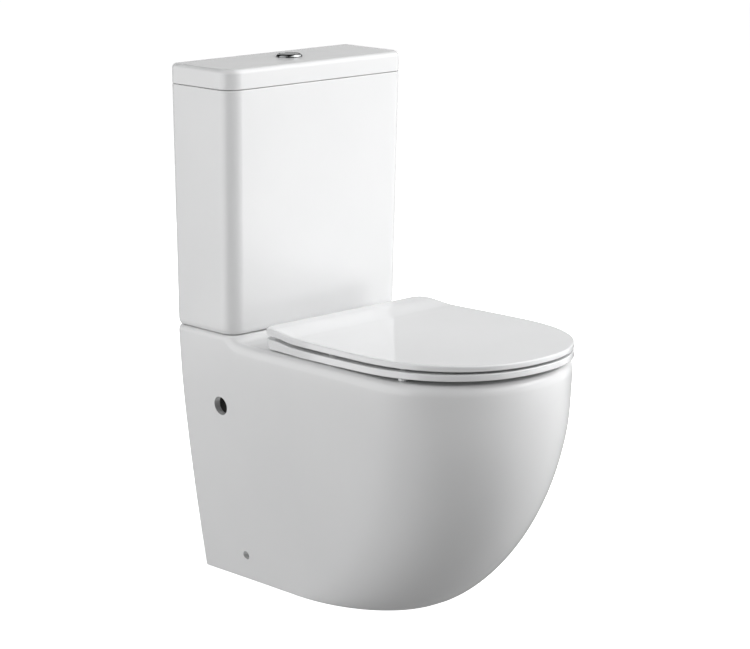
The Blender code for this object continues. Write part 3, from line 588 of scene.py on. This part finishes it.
def make_lid():
    """The cistern's lid, with a rib under it that fits into the tank and a hole for the button."""
    edge_round = 0.008
    foot_round = 0.0014
    rings = []
    for k in range(5):
        angle = pi / 2 * k / 4
        z = LID_BOTTOM + foot_round * (1 - cos(angle))
        rings.append(at_height(tank_outline(TANK_TOP, foot_round * (1 - sin(angle))), z))
    for k in range(1, 8):
        z = LID_BOTTOM + foot_round + (CISTERN_TOP - edge_round - LID_BOTTOM - foot_round) * k / 8
        rings.append(at_height(tank_outline(TANK_TOP), z))
    for k in range(11):
        angle = pi / 2 * k / 10
        height = CISTERN_TOP - edge_round + edge_round * sin(angle)
        rings.append(at_height(tank_outline(TANK_TOP, edge_round * (1 - cos(angle))), height))
    lid = loft("cistern_lid_ceramic", rings)
    rib = [at_height(tank_outline(TANK_TOP, inset), z)
           for z, inset in ((0.7905, 0.0123), (0.7913, 0.0115), (0.802, 0.0115))]
    pocket = [at_height(tank_outline(TANK_TOP, 0.0165), z) for z in (0.785, LID_CEILING)]
    combine(lid, [loft("lid_rib", rib)], "UNION")
    return ease_normals(combine(lid, [
        loft("lid_pocket", pocket),
        bore("button_hole", 0, VALVE_Y, 0.810, 0.840, 0.0195, 64),
    ], "DIFFERENCE"))


# ---- the flush buttons ----

def make_buttons():
    """The bezel and the two halves of the button, each a closed profile of (radius, z) turned round."""
    axis = (0, VALVE_Y)
    bezel = lathe("bezel", [
        (0, 0.808), (0, 0.806), (0.0188, 0.806), (0.0188, 0.8303), (0.0206, 0.8303), (0.0210, 0.8306),
        (0.0210, 0.8312), (0.0207, 0.8320), (0.0202, 0.8329), (0.0196, 0.8336), (0.0189, 0.8341),
        (0.0181, 0.8345), (0.0174, 0.83465), (0.0169, 0.8345), (0.0165, 0.8340), (0.0162, 0.8332),
        (0.0162, 0.808),
    ], axis, BUTTON_STEPS, BUTTON_SHARP)
    guides = [bore("rod_guide", x, VALVE_Y - 0.004, 0.800, 0.812, 0.0036) for x in (-0.008, 0.0095)]
    combine(bezel, guides, "DIFFERENCE", BUTTON_SHARP)
    edge = 0.0158
    profile = [
        (0, 0.8225), (edge, 0.8225), (edge, 0.8334), (edge - 0.0003, 0.8339), (edge - 0.0009, 0.8343),
        (edge - 0.0016, 0.83455), (0.0115, 0.8348), (0.0075, 0.8350), (0.0035, 0.83515), (0, 0.8352),
    ]
    made = [bezel]
    for name, low_x, high_x in (("button_full", -0.020, BUTTON_SPLIT_X - BUTTON_GAP),
                                ("button_half", BUTTON_SPLIT_X + BUTTON_GAP, 0.020)):
        button = lathe(name, profile, axis, BUTTON_STEPS, BUTTON_SHARP)
        part = block(name + "_part", (low_x, VALVE_Y - 0.030, 0.800), (high_x, VALVE_Y + 0.030, 0.850))
        made.append(combine(button, [part], "INTERSECT", BUTTON_SHARP))
    for obj in made:
        change = obj.modifiers.new("edge", "BEVEL")
        change.width = 0.00022
        change.segments = 2
        change.limit_method = "ANGLE"
        change.angle_limit = radians(BUTTON_SHARP)
    return made


# ---- the seat ----

def seat_outline(inset=0.0, rear_inset=0.0, corner=0.018):
    """The outline that the ring and the lid share, with an inset at the back of its own."""
    return d_outline(SEAT_HALF_WIDTH - inset, SEAT_REAR_HALF_WIDTH - inset,
                     WALL_Y - SEAT_REAR - rear_inset, WALL_Y - SEAT_SHOULDER, WALL_Y - SEAT_TIP + inset,
                     corner, SEAT_POWER, bend=14, side=60)


def face_height(face, y):
    """The height of one of the seat's faces: it rises gently to the tip and lifts over the hinges."""
    base, slope, lift = face
    depth = WALL_Y - y
    return (base + slope * max(depth - SLOPE_START, 0.0)
            + lift * smooth_step(LIFT_START - depth, 0.0, LIFT_LENGTH))


def on_face(outline, face, above=0.0):
    """Lays a flat outline on one of the seat's faces, or a little above it."""
    return [(x, y, face_height(face, y) + above) for x, y in outline]


def rounded_edge(radius, steps=7):
    """(inset, rise) round a quarter circle, from the side of a plate to its flat face."""
    stops = []
    for k in range(steps + 1):
        angle = pi / 2 * k / steps
        stops.append((radius * (1 - cos(angle)), radius * sin(angle) - radius))
    return stops


def opening_outline(grow=0.0):
    """The ring's opening, with as many points as the outline round it, in the same order."""
    centre_y = WALL_Y - 0.404
    points = []
    for x, y in seat_outline():
        direction = Vector((x / 0.108, (y - centre_y) / 0.1415))
        length = (abs(direction.x) ** 2.3 + abs(direction.y) ** 2.3) ** (1 / 2.3)
        reach = 1 + grow / 0.12
        points.append((x / length * reach, centre_y + (y - centre_y) / length * reach))
    return points


def pin_tube(name, start_x, end_x, radius, bevel=0.0):
    """A bar along the hinges' axis."""
    return tube(name, (start_x, HINGE_Y, HINGE_Z), (end_x, HINGE_Y, HINGE_Z), radius, 48, bevel)


def make_ring():
    profile = [on_face(opening_outline(0.003), RING_BOTTOM),
               on_face(seat_outline(0.0040, 0.0060), RING_BOTTOM)]
    for inset, rise in reversed(rounded_edge(0.0016)):
        profile.append(on_face(seat_outline(inset, 0.003 + inset), RING_BOTTOM, -rise))
    for inset, rise in rounded_edge(0.0018):
        profile.append(on_face(seat_outline(inset, 0.001 + inset), RING_TOP, rise))
    profile.append(on_face(seat_outline(0.0040, 0.005), RING_TOP))
    profile.append(on_face(opening_outline(0.0090), RING_TOP))
    for k in range(1, 9):
        angle = pi / 2 * k / 8
        profile.append(on_face(opening_outline(0.0065 * (1 - sin(angle))), RING_TOP,
                               -0.0045 * (1 - cos(angle))))
    profile.append(on_face(opening_outline(0.0), RING_BOTTOM, 0.0022))
    profile.append(on_face(opening_outline(0.0008), RING_BOTTOM, 0.0006))
    ring = loft("ring_plastic", profile, closed=True)
    knuckles = []
    notches = []
    bores = []
    for side in (-1, 1):
        knuckles.append(pin_tube("ring_knuckle", side * 0.0575, side * 0.0692, KNUCKLE_RADIUS, KNUCKLE_BEVEL))
        low_x, high_x = sorted((side * 0.0692, side * 0.0990))
        notches.append(block("ring_notch", (low_x, HINGE_Y - 0.0095, 0.400),
                             (high_x, HINGE_Y + 0.020, 0.430)))
        bores.append(pin_tube("ring_bore", side * 0.050, side * 0.075, PIN_BORE))
    combine(ring, knuckles, "UNION")
    return ease_normals(combine(ring, notches + bores, "DIFFERENCE"))


def make_seat_lid():
    rings = [on_face(seat_outline(0.0060, 0.0060), SEAT_LID_BOTTOM)]
    for inset, rise in reversed(rounded_edge(0.0018)):
        rings.append(on_face(seat_outline(inset, inset), SEAT_LID_BOTTOM, -rise))
    for inset, rise in rounded_edge(0.0026):
        rings.append(on_face(seat_outline(inset, inset), SEAT_LID_TOP, rise))
    rings.append(on_face(seat_outline(0.0060, 0.0060), SEAT_LID_TOP))
    lid = loft("lid_plastic", rings, across=True)
    recess = [on_face(seat_outline(0.026, 0.030, 0.012), SEAT_LID_BOTTOM, above)
              for above in (-0.002, 0.0025)]
    combine(lid, [loft("lid_recess", recess, across=True)], "DIFFERENCE")
    neck_top = face_height(SEAT_LID_BOTTOM, HINGE_Y) + 0.003
    knuckles = []
    bores = []
    for side in (-1, 1):
        low_x, high_x = sorted((side * 0.0860, side * 0.0975))
        knuckles.append(pin_tube("lid_knuckle", low_x, high_x, KNUCKLE_RADIUS, KNUCKLE_BEVEL))
        knuckles.append(block("lid_neck", (low_x + KNUCKLE_BEVEL, HINGE_Y - 0.0065, HINGE_Z),
                              (high_x - KNUCKLE_BEVEL, HINGE_Y + 0.0062, neck_top)))
        bores.append(pin_tube("lid_bore", side * 0.080, side * 0.105, PIN_BORE))
    combine(lid, knuckles, "UNION")
    return ease_normals(combine(lid, bores, "DIFFERENCE"))


# ---- materials ----

def new_material(name):
    material = bpy.data.materials.new(name)
    material.use_nodes = True
    tree = material.node_tree
    return material, tree, tree.nodes["Principled BSDF"]


def noise(tree, scale, detail=3.0):
    """Noise over the piece itself."""
    coordinates = tree.nodes.new("ShaderNodeTexCoord")
    texture = tree.nodes.new("ShaderNodeTexNoise")
    texture.inputs["Scale"].default_value = scale
    texture.inputs["Detail"].default_value = detail
    tree.links.new(coordinates.outputs["Object"], texture.inputs["Vector"])
    return texture.outputs["Fac"]


def ramp(tree, factor, low, high):
    """A colour between two, as the factor goes through its middle range."""
    node = tree.nodes.new("ShaderNodeValToRGB")
    node.color_ramp.elements[0].position = 0.35
    node.color_ramp.elements[1].position = 0.65
    node.color_ramp.elements[0].color = (*low, 1.0)
    node.color_ramp.elements[1].color = (*high, 1.0)
    tree.links.new(factor, node.inputs["Fac"])
    return node.outputs["Color"]


def bump(tree, shader, factor, strength, distance):
    node = tree.nodes.new("ShaderNodeBump")
    node.inputs["Strength"].default_value = strength
    node.inputs["Distance"].default_value = distance
    tree.links.new(factor, node.inputs["Height"])
    tree.links.new(node.outputs["Normal"], shader.inputs["Normal"])


def spread(tree, factor, low, high):
    """A value between two."""
    node = tree.nodes.new("ShaderNodeMapRange")
    node.inputs["To Min"].default_value = low
    node.inputs["To Max"].default_value = high
    tree.links.new(factor, node.inputs["Value"])
    return node.outputs["Result"]


def ceramic_material():
    material, tree, shader = new_material("glazed_ceramic")
    tree.links.new(ramp(tree, noise(tree, 5.0, 2.0), (0.780, 0.784, 0.788), (0.800, 0.803, 0.806)),
                   shader.inputs["Base Color"])
    tree.links.new(spread(tree, noise(tree, 22.0, 3.0), 0.19, 0.25), shader.inputs["Roughness"])
    bump(tree, shader, noise(tree, 60.0, 2.0), 0.10, 0.0002)
    shader.inputs["IOR"].default_value = 1.5
    return material


def shaded_clay_material():
    material, tree, shader = new_material("unglazed_clay")
    # Unglazed and rough, with a near-black colour that is painted shade for the inside of the skirt.
    tree.links.new(ramp(tree, noise(tree, 30.0, 4.0), (0.11, 0.105, 0.10), (0.16, 0.155, 0.15)),
                   shader.inputs["Base Color"])
    tree.links.new(spread(tree, noise(tree, 90.0, 3.0), 0.75, 0.95), shader.inputs["Roughness"])
    bump(tree, shader, noise(tree, 160.0, 4.0), 0.35, 0.0005)
    return material


def seat_material():
    material, tree, shader = new_material("gloss_seat_plastic")
    tree.links.new(ramp(tree, noise(tree, 8.0, 2.0), (0.800, 0.805, 0.810), (0.812, 0.817, 0.822)),
                   shader.inputs["Base Color"])
    tree.links.new(spread(tree, noise(tree, 40.0, 3.0), 0.05, 0.09), shader.inputs["Roughness"])
    bump(tree, shader, noise(tree, 140.0, 2.0), 0.05, 0.00008)
    return material


def metal_material(name, low, high, rough, scale, strength):
    material, tree, shader = new_material(name)
    shader.inputs["Metallic"].default_value = 1.0
    tree.links.new(ramp(tree, noise(tree, scale, 3.0), low, high), shader.inputs["Base Color"])
    tree.links.new(spread(tree, noise(tree, scale * 2, 4.0), *rough), shader.inputs["Roughness"])
    bump(tree, shader, noise(tree, scale * 3, 2.0), strength, 0.00005)
    return material


def chrome_painted_reflection_material():
    """Polished chrome. Between the heights of the button the bezel's flank is darker than the rest, a painted
    dark reflection in the colour.
    """
    material, tree, shader = new_material("chrome_with_painted_reflection")
    shader.inputs["Metallic"].default_value = 1.0
    shader.inputs["Specular Tint"].default_value = (0.80, 0.80, 0.80, 1.0)
    place = tree.nodes.new("ShaderNodeTexCoord")
    split = tree.nodes.new("ShaderNodeSeparateXYZ")
    height = tree.nodes.new("ShaderNodeMapRange")
    height.inputs["From Min"].default_value = CISTERN_TOP
    height.inputs["From Max"].default_value = CISTERN_TOP + 0.005
    tree.links.new(place.outputs["Object"], split.inputs["Vector"])
    tree.links.new(split.outputs["Z"], height.inputs["Value"])
    # Painted dark reflection: grey bands by height, darkest on the bezel's lower flank.
    shades = tree.nodes.new("ShaderNodeValToRGB")
    for position, grey in ((0.01, 0.50), (0.05, 0.25), (0.34, 0.25), (0.48, 0.55), (0.74, 0.55),
                           (0.88, 0.50)):
        stop = shades.color_ramp.elements.new(position)
        stop.color = (grey * 0.97, grey * 0.99, grey, 1.0)
    shades.color_ramp.elements.remove(shades.color_ramp.elements[-1])
    shades.color_ramp.elements.remove(shades.color_ramp.elements[0])
    tree.links.new(height.outputs["Result"], shades.inputs["Fac"])
    tint = tree.nodes.new("ShaderNodeMix")
    tint.data_type = "RGBA"
    tint.blend_type = "MULTIPLY"
    tint.inputs["Factor"].default_value = 1.0
    # The colour sockets of a Mix node: A is the 7th input, B the 8th and the result the 3rd output
    tree.links.new(shades.outputs["Color"], tint.inputs[6])
    tree.links.new(ramp(tree, noise(tree, 180.0, 3.0), (0.92, 0.92, 0.92), (1.0, 1.0, 1.0)),
                   tint.inputs[7])
    tree.links.new(tint.outputs[2], shader.inputs["Base Color"])
    tree.links.new(spread(tree, noise(tree, 360.0, 4.0), 0.05, 0.11), shader.inputs["Roughness"])
    return material


def plastic_material(name, low, high, rough, scale=350.0, strength=0.12):
    material, tree, shader = new_material(name)
    tree.links.new(ramp(tree, noise(tree, 12.0, 2.0), low, high), shader.inputs["Base Color"])
    tree.links.new(spread(tree, noise(tree, scale, 3.0), *rough), shader.inputs["Roughness"])
    bump(tree, shader, noise(tree, scale, 3.0), strength, 0.0001)
    return material


MATERIALS = {
    "glazed_ceramic": ceramic_material(),
    "seat_plastic": seat_material(),
    "chrome": chrome_painted_reflection_material(),
    "steel": metal_material(
        "satin_steel", (0.50, 0.50, 0.51), (0.62, 0.62, 0.63), (0.22, 0.36), 260.0, 0.15),
    "brass": metal_material(
        "cast_brass", (0.58, 0.42, 0.18), (0.74, 0.56, 0.27), (0.25, 0.42), 220.0, 0.20),
    "valve_plastic": plastic_material(
        "valve_moulding", (0.70, 0.70, 0.67), (0.78, 0.78, 0.75), (0.36, 0.50)),
    "accent_plastic": plastic_material(
        "blue_moulding", (0.10, 0.22, 0.45), (0.15, 0.29, 0.54), (0.36, 0.50)),
    "rubber": plastic_material(
        "black_rubber", (0.020, 0.020, 0.021), (0.040, 0.040, 0.042), (0.62, 0.80), 500.0, 0.3),
    "bumper_rubber": plastic_material(
        "white_bumper", (0.76, 0.77, 0.77), (0.82, 0.83, 0.83), (0.30, 0.42)),
}
# The pan's hidden inside is unglazed clay, its dark colour painted shade for the dark inside of the skirt.
# The record has no slot for it, so it isn't in the table.
SHADED_UNGLAZED_CLAY = shaded_clay_material()


# ---- pieces ----

def dress(obj, body, slot, *nodes):
    """A finer piece that stands for CAD nodes, on their body and in their finish."""
    if not obj.data.materials:
        obj.data.materials.append(MATERIALS[slot])
    # A boolean leaves an empty slot for the faces of a solid that had no material
    for index, material in enumerate(obj.data.materials):
        if not material:
            obj.data.materials[index] = MATERIALS[slot]
    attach(obj, body)
    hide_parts(*nodes)


for part in frame["record"]["subparts"]:
    for holder in NODES[part["node"]].material_slots:
        holder.material = MATERIALS[part["material_slot"]]

dress(make_pan(), "base", "glazed_ceramic", "pan", "pan_platform", "pan_bowl", "pan_flush_duct", "pan_trap")
dress(make_tank(), "base", "glazed_ceramic", "cistern_tank")
dress(make_lid(), "cistern_lid", "glazed_ceramic", "cistern_lid")
BEZEL, FULL_BUTTON, HALF_BUTTON = make_buttons()
dress(BEZEL, "cistern_lid", "chrome", "button_bezel")
dress(FULL_BUTTON, "full_button", "chrome", "full_flush_button")
dress(HALF_BUTTON, "half_button", "chrome", "half_flush_button")
dress(make_ring(), "seat_ring", "seat_plastic", "seat_ring")
dress(make_seat_lid(), "seat_lid", "seat_plastic", "seat_lid")


# ---- camera, floor and light ----

def aim(obj, place, target):
    obj.location = place
    obj.rotation_euler = (Vector(target) - Vector(place)).to_track_quat("-Z", "Y").to_euler()


def direction(azimuth, elevation):
    """The way from the object to a place round it: 0 is in front of it, 90 at its right side."""
    a, e = radians(azimuth), radians(elevation)
    return Vector((sin(a) * cos(e), -cos(a) * cos(e), sin(e)))


def make_camera():
    data = bpy.data.cameras.new("camera")
    camera = bpy.data.objects.new("camera", data)
    bpy.context.scene.collection.objects.link(camera)
    data.sensor_width = 36
    data.lens = 121.69
    data.clip_start = 0.05
    data.clip_end = 100
    target = Vector((-0.0003, 0.0433, 0.4268))
    aim(camera, target + direction(-43.70, 12.93) * 3.968, target)
    bpy.context.scene.camera = camera


def soft_box(name, azimuth, elevation, power):
    """A broad area light, 3 m away and turned towards the middle of the object."""
    data = bpy.data.lights.new(name, "AREA")
    data.shape = "RECTANGLE"
    data.size = 3.4
    data.size_y = 3.0
    data.energy = power
    light = bpy.data.objects.new(name, data)
    light.visible_camera = False
    bpy.context.scene.collection.objects.link(light)
    target = Vector((0, 0, 0.42))
    aim(light, target + direction(azimuth, elevation) * 3.0, target)


def make_world():
    """Surroundings that are dark above the horizon and grey below it."""
    world = bpy.data.worlds.new("studio")
    world.use_nodes = True
    tree = world.node_tree
    coordinates = tree.nodes.new("ShaderNodeTexCoord")
    split = tree.nodes.new("ShaderNodeSeparateXYZ")
    height = tree.nodes.new("ShaderNodeMapRange")
    height.inputs["From Min"].default_value = -1.0
    shades = tree.nodes.new("ShaderNodeValToRGB")
    shades.color_ramp.elements[0].position = 0.30
    shades.color_ramp.elements[0].color = (0.35, 0.35, 0.35, 1.0)
    shades.color_ramp.elements[1].position = 0.45
    shades.color_ramp.elements[1].color = (0.0, 0.0, 0.0, 1.0)
    tree.links.new(coordinates.outputs["Generated"], split.inputs["Vector"])
    tree.links.new(split.outputs["Z"], height.inputs["Value"])
    tree.links.new(height.outputs["Result"], shades.inputs["Fac"])
    tree.links.new(shades.outputs["Color"], tree.nodes["Background"].inputs["Color"])
    bpy.context.scene.world = world


def flat_face(name, outline, z):
    data = bmesh.new()
    data.faces.new([data.verts.new(point) for point in at_height(outline, z)])
    return object_from(name, data)


def make_floor():
    """A white floor that throws no light back, and the patch of it that the pan stands on."""
    material, tree, shader = new_material("studio_floor")
    tree.links.new(ramp(tree, noise(tree, 3.0), (0.90, 0.90, 0.90), (0.92, 0.92, 0.92)),
                   shader.inputs["Base Color"])
    shader.inputs["Roughness"].default_value = 0.9
    shader.inputs["Emission Color"].default_value = (1.0, 1.0, 1.0, 1.0)
    shader.inputs["Emission Strength"].default_value = 1.0
    square = ((-12, -12), (12, -12), (12, 12), (-12, 12))
    floor = flat_face("studio_floor", square, -0.0006)
    floor.visible_diffuse = False
    floor.visible_glossy = False
    patch = flat_face("floor_patch", pan_outline(0.0, 0.004), -0.0003)
    for piece in (floor, patch):
        piece.data.materials.append(material)


make_camera()
make_floor()
make_world()
soft_box("backdrop", 136, 13, 18.5)
soft_box("rear_left", -112, 8, 70)
soft_box("rear_left_high", -112, 45, 9)
soft_box("left", -85, 10, 6)
soft_box("front", 0, 10, 4)
soft_box("front_high", 5, 45, 11)
soft_box("front_right", 30, 10, 35)
soft_box("front_right_high", 30, 45, 33)
soft_box("right", 60, 10, 35)
soft_box("right_high", 60, 45, 50)
soft_box("right_low", 60, -25, 5)
bpy.context.scene.view_settings.view_transform = "Standard"
bpy.context.scene.view_settings.look = "None"

bpy.context.view_layer.update()
